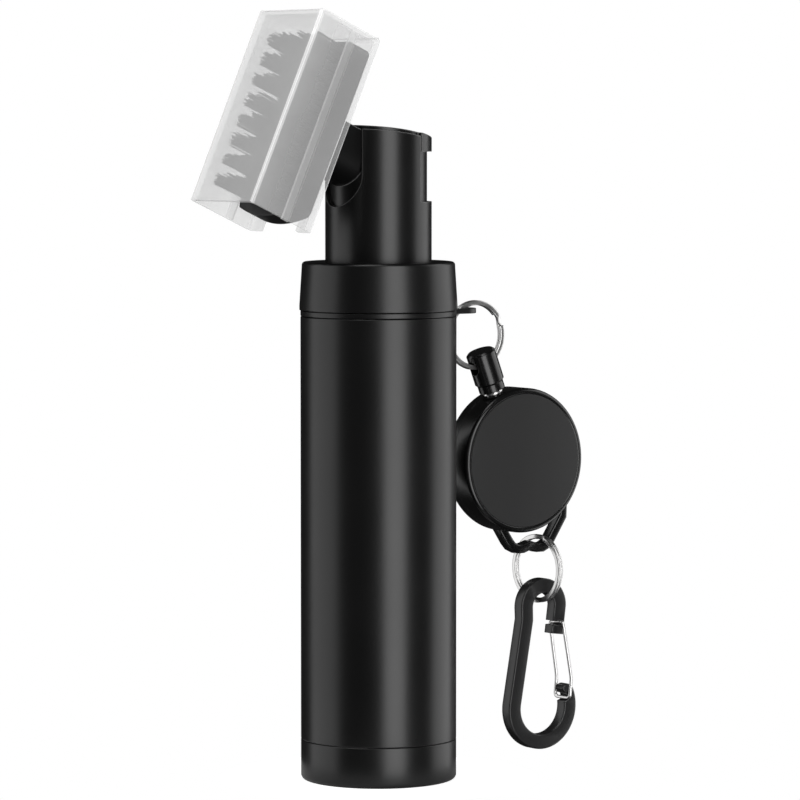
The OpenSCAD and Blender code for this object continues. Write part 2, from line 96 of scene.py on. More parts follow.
room_mirrored, room_seen = 0.02, 1.0
world = bpy.data.worlds.new("studio")
world.use_nodes = True
bpy.context.scene.world = world
air = world.node_tree
backdrop_light = air.nodes["Background"]
backdrop_light.inputs["Color"].default_value = (1, 1, 1, 1)
seen_straight = air.nodes.new("ShaderNodeLightPath")
strength = air.nodes.new("ShaderNodeMapRange")
strength.inputs["To Min"].default_value = room_mirrored
strength.inputs["To Max"].default_value = room_seen
air.links.new(seen_straight.outputs["Is Camera Ray"], strength.inputs["Value"])
air.links.new(strength.outputs["Result"], backdrop_light.inputs["Strength"])

floor_radius = 45 * MM
floor_rim = [(floor_radius * cos(i * pi / 32), floor_radius * sin(i * pi / 32), 0) for i in range(64)]
sheet = bpy.data.meshes.new("floor")
sheet.from_pydata(floor_rim, [], [range(64)])
floor = bpy.data.objects.new("floor", sheet)
bpy.context.scene.collection.objects.link(floor)
paper = bpy.data.materials.new("white_paper")
paper.use_nodes = True
sheen = paper.node_tree.nodes["Principled BSDF"]
sheen.inputs["Base Color"].default_value = (0.8, 0.8, 0.8, 1)
sheen.inputs["Roughness"].default_value = 0.9
sheen.inputs["Emission Color"].default_value = (1, 1, 1, 1)
straight = paper.node_tree.nodes.new("ShaderNodeLightPath")
lift = paper.node_tree.nodes.new("ShaderNodeMapRange")
lift.inputs["To Max"].default_value = 0.8
paper.node_tree.links.new(straight.outputs["Is Camera Ray"], lift.inputs["Value"])
paper.node_tree.links.new(lift.outputs["Result"], sheen.inputs["Emission Strength"])
sheet.materials.append(paper)
bpy.context.scene.view_settings.view_transform = "Standard"

# ---------------------------------------------------------------- bottle: foot cap and outer sleeve
# Two black polypropylene mouldings that meet in a fine seam near the foot. The sleeve is a
# straight tube over the water bottle, and the cap's spigot is pressed into its lower end.


class Socket:
    """One output in a tree of nodes. Sums and products of outputs become Math nodes."""

    def __init__(self, tree, output=None):
        self.tree, self.output = tree, output

    def node(self, kind, settings, values, output=0):
        made = self.tree.nodes.new(kind)
        for name, setting in settings.items():
            setattr(made, name, setting)
        for name, value in values.items():
            if isinstance(value, Socket):
                self.tree.links.new(value.output, made.inputs[name])
            else:
                made.inputs[name].default_value = value
        return Socket(self.tree, made.outputs[output])

    def math(self, operation, first, second=0.0):
        return self.node("ShaderNodeMath", {"operation": operation}, {0: first, 1: second})

    def between(self, share, dark, light):
        """A colour that goes from the dark tone to the light one with the share."""
        return self.node("ShaderNodeMix", {"data_type": "RGBA"}, {0: share, 6: dark, 7: light}, 2)

    def noise(self, place, scale, detail):
        return self.node("ShaderNodeTexNoise", {}, {"Vector": place, "Scale": scale, "Detail": detail}, 0)

    def __add__(self, other):
        return self.math("ADD", self, other)

    def __sub__(self, other):
        return self.math("SUBTRACT", self, other)

    def __rsub__(self, other):
        return self.math("SUBTRACT", other, self)

    def __mul__(self, other):
        return self.math("MULTIPLY", self, other)

    __radd__, __rmul__ = __add__, __mul__


def finish(name, **constants):
    """A material with one Principled shader, whose unchanging values are the constants."""
    made = bpy.data.materials.new(name)
    made.use_nodes = True
    shader = made.node_tree.nodes["Principled BSDF"]
    for socket, value in constants.items():
        shader.inputs[socket.replace("_", " ")].default_value = value
    return made, Socket(made.node_tree)


def feed(material, **sockets):
    """Links what varies over the surface to the material's Principled shader."""
    shader = material.node_tree.nodes["Principled BSDF"]
    for socket, value in sockets.items():
        material.node_tree.links.new(value.output, shader.inputs[socket.replace("_", " ")])


def toned(tone, factor=1.0):
    """A tone as an opaque colour, made darker or lighter by the factor."""
    return tuple(factor * c for c in tone) + (1,)


def moulded(name, tone, roughness, grain, rounding=0.25, coat=0.0, speckle=0.0008, painted_edge_highlight=0.0):
    """Moulded plastic: spark-eroded grain, faint flow marks and rounded edges, and if asked a painted
    highlight that makes the colour paler along the edges.
    """
    material, at = finish(name, Specular_IOR_Level=0.5, Coat_Roughness=0.12)
    place = at.node("ShaderNodeTexCoord", {}, {}, "Object")
    fine = at.noise(place, 1 / speckle, 3.0)
    flow = at.node("ShaderNodeMapping", {}, {"Vector": place, "Scale": (1.0, 1.0, 0.12)})
    marks = at.noise(flow, 160.0, 4.0)
    dust = at.noise(place, 38.0, 6.0)
    colour = at.between(marks * 0.7 + fine * 0.3, toned(tone, 0.82), toned(tone, 1.2))
    round_edge = at.node("ShaderNodeBevel", {"samples": 6}, {"Radius": rounding * MM})
    bump = at.node("ShaderNodeBump", {}, {
        "Strength": grain, "Distance": 0.00005, "Height": fine + marks * 0.6, "Normal": round_edge})
    # Painted highlight: the colour goes pale where the rounded edge's normal turns away from the face's.
    if painted_edge_highlight:
        face = at.node("ShaderNodeNewGeometry", {}, {}, "Normal")
        level = at.node("ShaderNodeVectorMath", {"operation": "DOT_PRODUCT"}, {
            0: face, 1: round_edge}, "Value")
        colour = at.between((1.0 - level) * 7.0, colour, toned((painted_edge_highlight,) * 3))
    feed(material, Base_Color=colour, Roughness=roughness - 0.05 + dust * 0.1, Normal=bump)
    if coat:
        feed(material, Coat_Weight=coat * (0.7 + marks * 0.3))
    return material


def solid(name, mesh, material, smooth=40):
    """A finished piece at the origin, its place in its mesh, smooth but for its sharp edges."""
    made = bpy.data.objects.new(name, mesh)
    bpy.context.scene.collection.objects.link(made)
    mesh.materials.clear()
    mesh.materials.append(material)
    mesh.shade_smooth()
    mesh.set_sharp_from_angle(angle=radians(smooth))
    return made


def turned(name, outline, material, place=Matrix.Identity(4), steps=160):
    """A turned piece: a closed outline of (radius, height) in millimetres, spun round its axis."""
    shape = bmesh.new()
    rings = []
    for radius, height in outline:
        if radius < 1e-6:
            rings.append([shape.verts.new((0, 0, height * MM))] * steps)
        else:
            rings.append([shape.verts.new((radius * MM * cos(2 * pi * i / steps),
                                           radius * MM * sin(2 * pi * i / steps), height * MM))
                          for i in range(steps)])
    for low, high in zip(rings, rings[1:] + rings[:1]):
        for i in range(steps):
            corners = [low[i], low[(i + 1) % steps], high[(i + 1) % steps], high[i]]
            corners = [c for k, c in enumerate(corners) if c not in corners[:k]]
            if len(corners) > 2:
                shape.faces.new(corners)
    bmesh.ops.recalc_face_normals(shape, faces=shape.faces)
    shape.transform(place)
    mesh = bpy.data.meshes.new(name)
    shape.to_mesh(mesh)
    shape.free()
    return solid(name, mesh, material)


def arc(x, z, radius, start, end, count):
    """Points of an outline's round stretch, about its centre, from one angle to another."""
    return [(x + radius * cos(radians(start + (end - start) * i / count)),
             z + radius * sin(radians(start + (end - start) * i / count))) for i in range(count + 1)]


body_tone = (0.0042, 0.0042, 0.0043)
black_body = moulded("black_body_plastic", body_tone, 0.31, 0.08)

foot_cap = turned("foot_cap", [(0, 0)] + arc(20.7, 1.3, 1.3, -90, 0, 12)
                  + arc(21.75, 11.22, 0.25, 0, 90, 4)
                  + [(20.55, 11.47), (20.55, 17.5), (19.5, 17.5), (19.5, 2.4), (0, 2.4)], black_body)
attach(foot_cap, "bottle")
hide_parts("base_cap")

sleeve = turned("bottle_sleeve", [(20.6, 11.53)] + arc(21.75, 11.78, 0.25, -90, 0, 4)
                + arc(21.7, 130.8, 0.3, 0, 90, 4)
                + [(17.3, 131.1), (17.3, 129.7), (20.6, 129.7)], black_body)
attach(sleeve, "bottle")
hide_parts("outer_sleeve")

# ---------------------------------------------------------------- water bottle inside the sleeve
# Blow-moulded polyethylene, cloudy dark grey, with the mouth that the collar screws over.

bottle_grey = moulded("bottle_polyethylene", (0.05, 0.05, 0.055), 0.5, 0.1, 0.3)


def dress(material, *parts):
    """Gives the material to pieces whose shape is final as it stands."""
    for part in parts:
        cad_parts[part].data.materials.clear()
        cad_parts[part].data.materials.append(material)


dress(bottle_grey, "inner_bottle")

# ---------------------------------------------------------------- hanger ring
# A flat moulded ring, trapped between the sleeve and the collar, with an ear drilled for the
# split ring. It is free to turn round the bottle's mouth.


def plate(name, outlines, thickness, edge, material, place=Matrix.Identity(4), smooth=40):
    """A flat piece cut to closed outlines in millimetres, the later ones holes, with round edges."""
    flat = bpy.data.curves.new(name, "CURVE")
    flat.dimensions = "2D"
    flat.fill_mode = "BOTH"
    flat.extrude = (thickness / 2 - edge) * MM
    flat.bevel_depth = edge * MM
    flat.bevel_resolution = 3
    flat.offset = -edge * MM
    for number, outline in enumerate(outlines):
        area = sum(a[0] * b[1] - b[0] * a[1] for a, b in zip(outline, outline[1:] + outline[:1]))
        if (area > 0) == (number > 0):
            outline = outline[::-1]
        line = flat.splines.new("POLY")
        line.points.add(len(outline) - 1)
        line.use_cyclic_u = True
        for point, (x, y) in zip(line.points, outline):
            point.co = (x * MM, y * MM, 0, 1)
    cut = bpy.data.objects.new(name + "_cut", flat)
    bpy.context.scene.collection.objects.link(cut)
    mesh = bpy.data.meshes.new_from_object(cut.evaluated_get(bpy.context.evaluated_depsgraph_get()))
    bpy.data.objects.remove(cut)
    shape = bmesh.new()
    shape.from_mesh(mesh)
    bmesh.ops.remove_doubles(shape, verts=shape.verts, dist=0.002 * MM)
    bmesh.ops.dissolve_degenerate(shape, edges=shape.edges, dist=0.001 * MM)
    bmesh.ops.recalc_face_normals(shape, faces=shape.faces)
    shape.transform(place)
    shape.to_mesh(mesh)
    shape.free()
    mesh.name = name
    return solid(name, mesh, material, smooth)


ring_radius, ring_bore, ring_height = 22.0, 17.1, 131.95
ear_half, ear_centre, ear_root = 5.0, 28.0, 13.14
eye_centre, eye_radius = 28.4, 3.1
hanger_outline = (arc(0, 0, ring_radius, ear_root, 360 - ear_root, 150)
                  + arc(ear_centre, 0, ear_half, -90, 90, 30))
hanger = plate("hanger_plate", [hanger_outline, arc(0, 0, ring_bore, 0, 357, 119),
                                arc(eye_centre, 0, eye_radius, 0, 352, 44)],
               1.5, 0.22, black_body, Matrix.Translation((0, 0, ring_height * MM)))
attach(hanger, "hanger")
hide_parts("hanger_ring")

# ---------------------------------------------------------------- screw collar
# One black moulding that screws down over the mouth and holds the pump's neck. Its top is
# dished round the neck, and its shoulder is rounded.

collar = turned("collar", arc(22.05, 133.05, 0.25, -90, 0, 4) + [(22.3, 134.2), (21.62, 145.2)]
                + arc(20.62, 145.5, 1.0, 0, 90, 10)
                + [(19.9, 146.42), (18.6, 145.9), (17.0, 145.62), (15.6, 145.55), (15.35, 145.4),
                   (15.35, 144.8), (17.08, 144.8), (17.08, 132.8)], black_body)
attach(collar, "collar")
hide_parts("screw_collar")

# ---------------------------------------------------------------- pump neck and press head
# Two black mouldings. The neck is a tube with a round-bottomed notch at the front and a window
# behind. The press head slides in it and carries the arm that holds the brush.

# The last value paints a pale highlight along the neck's and press head's edges.
black_neck = moulded("black_neck_plastic", body_tone, 0.3, 0.08, 0.5, painted_edge_highlight=0.2)
dress(black_neck, "neck_shroud", "press_head")

# ---------------------------------------------------------------- pump inside the neck
# Natural polypropylene cylinder, guide, stem and dip tube, a glass ball that drops on its seat,
# and grey rubber seals. The spring under the piston has a section of its own, further down.

natural = moulded("natural_polypropylene", (0.72, 0.72, 0.68), 0.42, 0.15, 0.2)
rubber = moulded("seal_rubber", (0.09, 0.09, 0.095), 0.62, 0.3, 0.15, speckle=0.0004)
dress(natural, "pump_cylinder", "stem_guide", "dip_tube", "piston_stem")
dress(rubber, "neck_gasket", "piston_seal")
ball_glass = moulded("ball_glass", (0.62, 0.66, 0.66), 0.05, 0.02, coat=1.0)
dress(ball_glass, "inlet_ball")

# ---------------------------------------------------------------- brush back and bristles
# A black polypropylene back with rounded ends, and rows of dark nylon tufts stapled into it.
# Every tuft is a few dozen filaments that spread a little, round the nozzle in the middle.

brush_foot, brush_tilt = Vector((-43.2, 0, 159.8)) * MM, radians(24.35)
brush_lean = Matrix.Translation(brush_foot) @ Matrix.Rotation(brush_tilt, 4, "Y")
black_back = moulded("brush_back_plastic", (0.011, 0.011, 0.0112), 0.4, 0.15, 0.5)
dress(black_back, "brush_base", "nozzle")

nylon, at = finish("bristle_nylon", Specular_IOR_Level=0.4)
place = at.node("ShaderNodeTexCoord", {}, {}, "Object")
strand = at.noise(place, 2600.0, 2.0)
streak = at.between(strand, (0.009, 0.009, 0.0095, 1), (0.022, 0.022, 0.023, 1))
ripple = at.node("ShaderNodeBump", {}, {"Strength": 0.2, "Distance": 0.00003, "Height": strand})
feed(nylon, Base_Color=streak, Roughness=0.42 + strand * 0.2, Normal=ripple)


class Bench(Socket):
    """A Geometry Nodes tree with named inputs, which makes one plain mesh at a time."""

    def __init__(self, name, inputs):
        tree = bpy.data.node_groups.new(name, "GeometryNodeTree")
        super().__init__(tree)
        tree.interface.new_socket("Shape", in_out="INPUT", socket_type="NodeSocketGeometry")
        self.names = {}
        for label, kind in inputs.items():
            socket = tree.interface.new_socket(label, in_out="INPUT", socket_type="NodeSocket" + kind)
            self.names[label] = socket.identifier
        tree.interface.new_socket("Shape", in_out="OUTPUT", socket_type="NodeSocketGeometry")
        self.given = tree.nodes.new("NodeGroupInput")
        self.result = tree.nodes.new("NodeGroupOutput")

    def entry(self, label):
        return Socket(self.tree, self.given.outputs[label])

    def close(self, shape):
        self.tree.links.new(shape.output, self.result.inputs[0])

    def make(self, name, seed, **values):
        """Runs the tree on an object and gives the mesh it makes."""
        holder = bpy.data.objects.new(name + "_blank", seed)
        bpy.context.scene.collection.objects.link(holder)
        step = holder.modifiers.new("nodes", "NODES")
        step.node_group = self.tree
        for label, value in values.items():
            step[self.names[label.replace("_", " ")]] = value
        mesh = bpy.data.meshes.new_from_object(holder.evaluated_get(bpy.context.evaluated_depsgraph_get()))
        holder.modifiers.remove(step)
        bpy.data.objects.remove(holder)
        mesh.name = name
        return mesh


tufting = Bench("tufting", {"Rows": "Int", "Columns": "Int", "Row Pitch": "Float", "Column Pitch": "Float",
                            "Filaments": "Int", "Tuft Radius": "Float", "Filament Radius": "Float",
                            "Length": "Float", "Spread": "Float", "Nozzle Place": "Float",
                            "Nozzle Clearance": "Float", "Finish": "Material"})


def drawn(low, high, seed):
    """A random number between two, another one for every filament."""
    return tufting.node("FunctionNodeRandomValue", {"data_type": "FLOAT"}, {2: low, 3: high, "Seed": seed}, 1)


rows, columns = tufting.entry("Rows"), tufting.entry("Columns")
holes = tufting.node("GeometryNodeMeshGrid", {}, {
    "Size X": (rows - 1) * tufting.entry("Row Pitch"),
    "Size Y": (columns - 1) * tufting.entry("Column Pitch"),
    "Vertices X": rows, "Vertices Y": columns}, "Mesh")
hole_points = tufting.node("GeometryNodeMeshToPoints", {}, {"Mesh": holes})
here = tufting.node("GeometryNodeInputPosition", {}, {})
nozzle_point = tufting.node("ShaderNodeCombineXYZ", {}, {"X": tufting.entry("Nozzle Place")})
from_nozzle = tufting.node("ShaderNodeVectorMath", {"operation": "DISTANCE"}, {
    0: here, 1: nozzle_point}, "Value")
near = tufting.node("FunctionNodeCompare", {"data_type": "FLOAT", "operation": "LESS_THAN"}, {
    "A": from_nozzle, "B": tufting.entry("Nozzle Clearance")})
clear = tufting.node("GeometryNodeDeleteGeometry", {"domain": "POINT"}, {
    "Geometry": hole_points, "Selection": near})
many = tufting.node("GeometryNodeDuplicateElements", {"domain": "POINT"}, {
    "Geometry": clear, "Amount": tufting.entry("Filaments")})
round_turn = drawn(0.0, 2 * pi, 3)
out_share = drawn(0.0, 1.0, 7)
reach = out_share.math("SQRT", out_share)
off_x = reach.math("COSINE", round_turn) * reach
off_y = reach.math("SINE", round_turn) * reach
tuft_radius = tufting.entry("Tuft Radius")
offset = tufting.node("ShaderNodeCombineXYZ", {}, {"X": off_x * tuft_radius, "Y": off_y * tuft_radius})
placed = tufting.node("GeometryNodeSetPosition", {}, {"Geometry": many, "Offset": offset})
stray = 0.035
bend_x = drawn(-stray, stray, 11)
bend_y = drawn(-stray, stray, 13)
spread = tufting.entry("Spread")
tilt = tufting.node("ShaderNodeCombineXYZ", {}, {
    "X": bend_x - off_y * spread, "Y": bend_y + off_x * spread, "Z": round_turn})
share = drawn(0.9, 1.0, 17)
growth = tufting.node("ShaderNodeCombineXYZ", {}, {"X": 1.0, "Y": 1.0, "Z": share - reach * 0.05})
tip = tufting.node("ShaderNodeCombineXYZ", {}, {"Z": tufting.entry("Length")})
line = tufting.node("GeometryNodeCurvePrimitiveLine", {}, {"End": tip})
steps_of_line = tufting.node("GeometryNodeResampleCurve", {}, {"Curve": line, "Count": 4})
ring = tufting.node("GeometryNodeCurvePrimitiveCircle", {}, {
    "Resolution": 5, "Radius": tufting.entry("Filament Radius")})
filament = tufting.node("GeometryNodeCurveToMesh", {}, {
    "Curve": steps_of_line, "Profile Curve": ring, "Fill Caps": True})
stand = tufting.node("GeometryNodeInstanceOnPoints", {}, {
    "Points": placed, "Instance": filament, "Rotation": tilt, "Scale": growth})
real = tufting.node("GeometryNodeRealizeInstances", {}, {"Geometry": stand})
tufting.close(tufting.node("GeometryNodeSetMaterial", {}, {
    "Geometry": real, "Material": tufting.entry("Finish")}))

tufts_middle = Vector((3.7, 0, 29.0)) * MM
tufts = tufting.make("bristles", bpy.data.meshes.new("bristles_blank"), Rows=8, Columns=6,
                     Row_Pitch=6.1 * MM, Column_Pitch=4.3 * MM, Filaments=44, Tuft_Radius=2.0 * MM,
                     Filament_Radius=0.15 * MM, Length=12 * MM, Spread=0.02, Nozzle_Place=2.0 * MM,
                     Nozzle_Clearance=3.8 * MM, Finish=nylon)
tufts.transform(brush_lean @ Matrix.Translation(tufts_middle) @ Matrix.Rotation(-pi / 2, 4, "Y"))
bristles = solid("bristles", tufts, nylon, 70)
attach(bristles, "plunger")
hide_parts("bristle_tufts")

# ---------------------------------------------------------------- brush cover
# A frosted clear polypropylene box, open at its foot and slotted for the arm, that slides over
# the brush. Its walls get a faint painted glow, and its corners and cut edges a brighter painted highlight.


def frosting(name, painted_glow, scale, detail, darkest, lightest, roughness, change):
    """Milky plastic, clouded and unevenly dull, with a faint painted glow (emission in its own colour) for
    the light scattered inside it.
    """
    material, at = finish(name, Specular_IOR_Level=0.5, Emission_Strength=painted_glow)
    place = at.node("ShaderNodeTexCoord", {}, {}, "Object")
    haze = at.noise(place, scale, detail)
    milk = at.between(haze, toned((darkest,) * 3), toned((lightest,) * 3))
    feed(material, Base_Color=milk, Emission_Color=milk, Roughness=roughness + haze * change)
    return material, at, place, haze


# The walls and the rib glow faintly through emission: painted light.
frosted, at, place, haze = frosting("frosted_polypropylene", 0.08, 46.0, 5.0, 0.78, 0.86, 0.3, 0.15)
frost = at.noise(place, 5200.0, 2.0)
across_x = at.node("ShaderNodeSeparateXYZ", {}, {"Vector": place}, "X") * cos(brush_tilt)
across_z = at.node("ShaderNodeSeparateXYZ", {}, {"Vector": place}, "Z") * sin(brush_tilt)
forward = across_z - across_x - (brush_foot.z * sin(brush_tilt) - brush_foot.x * cos(brush_tilt))
half_depth = 10.5 * MM
near_front = at.math("MAXIMUM", at.math("MINIMUM", forward * (1 / half_depth), 1.0), 0.0)
grain = at.node("ShaderNodeBump", {}, {"Strength": 0.12, "Distance": 0.00004, "Height": frost})
feed(frosted, Alpha=0.2 + haze * 0.08 + near_front * 0.1, Normal=grain)

frosted_rib, at, place, haze = frosting("frosted_rib", 0.1, 46.0, 5.0, 0.78, 0.86, 0.3, 0.15)
feed(frosted_rib, Alpha=0.36 + haze * 0.1)

# The corner and top edge faces are paler, more opaque and glow brighter: a painted highlight.
cover_edge_glow, at, place, haze = frosting("frosted_painted_edge_glow", 0.33, 90.0, 4.0, 0.86, 0.97, 0.25, 0.1)
feed(cover_edge_glow, Alpha=0.5 + haze * 0.2)

blank = bmesh.new()
blank.from_mesh(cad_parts["brush_cover"].data)
bmesh.ops.remove_doubles(blank, verts=blank.verts, dist=0.002 * MM)
bmesh.ops.dissolve_limit(blank, angle_limit=radians(1), verts=blank.verts, edges=blank.edges)
blank.transform(brush_lean.inverted())
roof = max(v.co.z for v in blank.verts)


def sharp_edges(low=-1.0):
    """The blank's sharp edges that lie wholly above a height, or all of them."""
    return [e for e in blank.edges if all(v.co.z > low for v in e.verts)
            and len(e.link_faces) == 2 and e.calc_face_angle() > radians(40)]


bmesh.ops.bevel(blank, geom=sharp_edges(roof - 0.01 * MM), offset=1.1 * MM, segments=6, profile=0.5,
                affect="EDGES", clamp_overlap=True)
bmesh.ops.bevel(blank, geom=sharp_edges(), offset=0.3 * MM, segments=3, profile=0.5,
                affect="EDGES", clamp_overlap=True)
corner_x, inner_y, rib_y, top_z = 9.7, 14.2, 13, 56
rib_low, rib_high = 1.0, 3.5
# Rounded faces take the glowing edge material, a painted highlight. At the upright corners and the top,
# slanted faces take it too. The inner rib's faces take the rib material.
for face in blank.faces:
    flat = max(abs(c) for c in face.normal)
    middle = face.calc_center_median() / MM
    corner = abs(middle.x) > corner_x and abs(middle.y) > inner_y and abs(face.normal.z) < 0.2
    rib = rib_low < middle.x < rib_high and rib_y < abs(middle.y) < inner_y
    if flat < (0.88 if corner or middle.z > top_z else 0.98):
        face.material_index = 1
    elif rib:
        face.material_index = 2
bmesh.ops.triangulate(blank, faces=blank.faces)
blank.transform(brush_lean)
box = bpy.data.meshes.new("cover")
blank.to_mesh(box)
blank.free()
picks = [p.material_index for p in box.polygons]
cover = solid("cover", box, frosted, 25)
box.materials.append(cover_edge_glow)
box.materials.append(frosted_rib)
box.polygons.foreach_set("material_index", picks)
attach(cover, "cover")
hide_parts("brush_cover")

# ---------------------------------------------------------------- split rings
# Nickel-plated spring steel, two turns of flattened wire pressed together, each with its ends
# a little apart. The upper one joins the ear to the cord stop, the lower one the reel to the clip.

drawing = Bench("drawing", {"Width": "Float", "Thickness": "Float", "Corner": "Float", "Finish": "Material"})
section = drawing.node("GeometryNodeCurvePrimitiveQuadrilateral", {}, {
    "Width": drawing.entry("Width"), "Height": drawing.entry("Thickness")})
rounded = drawing.node("GeometryNodeFilletCurve", {"mode": "POLY"}, {
    "Curve": section, "Count": 4, "Radius": drawing.entry("Corner"), "Limit Radius": True})
run = drawing.node("GeometryNodeSetCurveNormal", {"mode": "Z_UP"}, {"Curve": drawing.entry("Shape")})
swept = drawing.node("GeometryNodeCurveToMesh", {}, {
    "Curve": run, "Profile Curve": rounded, "Fill Caps": True})
drawing.close(drawing.node("GeometryNodeSetMaterial", {}, {
    "Geometry": swept, "Material": drawing.entry("Finish")}))


def wire(name, points, width, thickness, corner, material, place=Matrix.Identity(4), closed=False):
    """Wire or cord drawn along points in millimetres, with a rounded section."""
    path = bpy.data.curves.new(name + "_path", "CURVE")
    path.dimensions = "3D"
    line = path.splines.new("POLY")
    line.points.add(len(points) - 1)
    line.use_cyclic_u = closed
    for point, at_place in zip(line.points, points):
        point.co = (at_place[0] * MM, at_place[1] * MM, at_place[2] * MM, 1)
    mesh = drawing.make(name, path, Width=width * MM, Thickness=thickness * MM, Corner=corner * MM,
                        Finish=material)
    shape = bmesh.new()
    shape.from_mesh(mesh)
    bmesh.ops.remove_doubles(shape, verts=shape.verts, dist=0.0005 * MM)
    bmesh.ops.recalc_face_normals(shape, faces=shape.faces)
    shape.transform(place)
    shape.to_mesh(mesh)
    shape.free()
    return solid(name, mesh, material, 50)


def polished(name, tone, roughness, hairline):
    """Plated or drawn metal: a few hairlines, and a dulling that comes and goes."""
    material, at = finish(name, Metallic=1.0)
    place = at.node("ShaderNodeTexCoord", {}, {}, "Object")
    hairs = at.noise(place, 5200.0, 2.0)
    cloud = at.noise(place, 420.0, 5.0)
    colour = at.between(cloud, toned(tone, 0.86), toned(tone))
    bump = at.node("ShaderNodeBump", {}, {"Strength": hairline, "Distance": 0.00002, "Height": hairs})
    feed(material, Base_Color=colour, Roughness=roughness + cloud * 0.12, Normal=bump)
    return material


nickel = polished("nickel_plate", (0.84, 0.835, 0.83), 0.24, 0.25)


def split_turns(start, step, end):
    """Two turns of degrees start to end that lie on each other and cross over in one short step."""
    turn_radius, half_gap, step_length, count = 9.3, 0.47, 24, 240
    turns = []
    for i in range(count + 1):
        angle = start + (end - start) * i / count
        rise = min(1, max(0, (angle - step) / step_length + 0.5))
        turns.append((turn_radius * cos(radians(angle)), turn_radius * sin(radians(angle)),
                      half_gap * (2 * rise * rise * (3 - 2 * rise) - 1)))
    return turns


ring_width, ring_thickness, ring_corner = 1.4, 0.92, 0.3
upper_low, upper_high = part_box("upper_split_ring")
upper_centre = (upper_low + upper_high) / 2
upper_ring = wire("upper_ring", split_turns(40, 385, 735), ring_width, ring_thickness, ring_corner, nickel,
                  Matrix.Translation(upper_centre) @ Matrix.Rotation(pi / 2, 4, "X"))
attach(upper_ring, "upper_ring")
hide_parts("upper_split_ring")

lower_low, lower_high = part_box("lower_split_ring")
lower_centre = (lower_low + lower_high) / 2
lower_ring = wire("lower_ring", split_turns(200, 545, 895), ring_width, ring_thickness, ring_corner, nickel,
                  Matrix.Translation(lower_centre) @ Matrix.Rotation(radians(6), 4, "Z")
                  @ Matrix.Rotation(pi / 2, 4, "Y"))
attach(lower_ring, "lower_ring")
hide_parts("lower_split_ring")

# ---------------------------------------------------------------- pump spring
# A stainless coil in the pump's cylinder, under the piston. In the pump its foot stays with the neck
# and its top goes down with the press head, so it shortens with the stroke; the coil made here has one fixed
# length.

spring_steel = polished("spring_steel", (0.58, 0.59, 0.61), 0.22, 0.3)
coil_low, coil_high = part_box("pump_spring")
coil_turns, coil_steps = 6, 288
coil_room, coil_wire = 0.9, 0.86
coil_radius = (coil_high.x - coil_low.x) / (2 * MM) - coil_room / 2
coil_foot, coil_rise = coil_low.z / MM + coil_room / 2, (coil_high.z - coil_low.z) / MM - coil_room
coil_path = []
for i in range(coil_steps + 1):
    angle = 2 * pi * coil_turns * i / coil_steps
    coil_path.append((coil_radius * cos(angle), coil_radius * sin(angle),
                      coil_foot + coil_rise * i / coil_steps))
coil = wire("pump_coil", coil_path, coil_wire, coil_wire, 0.42, spring_steel)
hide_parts("pump_spring")
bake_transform(coil)

# ---------------------------------------------------------------- cord stop and cord
# A small black barrel, cross-drilled for the split ring, that keeps the braided cord's knot. The
# cord runs from it into the reel and is wound on the spool.

gloss_black = moulded("gloss_black_plastic", (0.004, 0.004, 0.0041), 0.24, 0.05, 0.3, coat=0.2)
dress(gloss_black, "cord_stop")

braid, at = finish("braided_cord", Sheen_Weight=0.2)
place = at.node("ShaderNodeTexCoord", {}, {}, "Object")
plait = at.node("ShaderNodeTexWave", {"wave_type": "BANDS", "bands_direction": "DIAGONAL"}, {
    "Vector": place, "Scale": 900.0, "Distortion": 1.5}, "Fac")
yarn = at.noise(place, 4200.0, 3.0)
dyed = at.between(plait * 0.7 + yarn * 0.3, (0.006, 0.006, 0.006, 1), (0.03, 0.03, 0.031, 1))
ridge = at.node("ShaderNodeBump", {}, {"Strength": 0.5, "Distance": 0.00008, "Height": plait + yarn * 0.4})
feed(braid, Base_Color=dyed, Roughness=0.7 + yarn * 0.2, Normal=ridge)
dress(braid, "cord_knot", "cord_run", "wound_cord")

chain_tilt = radians(-21.2)
chain = Matrix.Translation(upper_centre) @ Matrix.Rotation(chain_tilt, 4, "Y")
cord_top, cord_length, cord_steps, cord_width = -15.2, 4.4, 60, 0.8
cord_path = [(0, 0, cord_top - cord_length * i / cord_steps) for i in range(cord_steps + 1)]
stretch = wire("cord_stretch", cord_path, cord_width, cord_width, cord_width / 2, braid, chain)
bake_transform(stretch)

# ---------------------------------------------------------------- reel
# A round case in two black halves: a matt face with a fine bead round it on a glossy rim. A
# chromed eyelet takes the cord, and the bail under it is moulded with the back half.

reel_drop = 39 * MM
reel_place = chain @ Matrix.Translation((0, 0, -reel_drop)) @ Matrix.Rotation(pi / 2, 4, "X")
matt_face = moulded("reel_face_plastic", (0.01, 0.01, 0.0102), 0.58, 0.3, 0.2, speckle=0.0005)
front_rim = turned("reel_front", [(0, 5.3), (19.2, 5.3), (19.35, 5.36), (19.5, 5.5)]
                   + arc(19.7, 4.3, 1.2, 90, 0, 12)
                   + [(20.9, -1.15), (19.7, -1.15), (19.7, 4.3), (0, 4.3)],
                   gloss_black, reel_place)
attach(front_rim, "reel")
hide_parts("reel_front_cover")
face_disc = turned("reel_face", [(0, 5.26), (19.22, 5.26), (19.22, 5.42), (18.95, 5.5), (0, 5.5)],
                   matt_face, reel_place)
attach(face_disc, "reel")

back_case = turned("reel_back", [(0, -5.5)] + arc(19.4, -4.0, 1.5, -90, 0, 12)
                   + [(20.9, -1.25), (19.7, -1.25), (19.7, -4.3), (0, -4.3)], gloss_black, reel_place)
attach(back_case, "reel")
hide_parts("reel_back_shell")

bail_half = [(11.3, 17.5), (12, 13), (11.9, 8.9), (7.6, 2.4), (6.3, 0.9), (4.6, 0.1), (2.5, 0.1)]
bail_path = [(-x, z) for x, z in bail_half] + [(0, 0.9)] + bail_half[::-1]


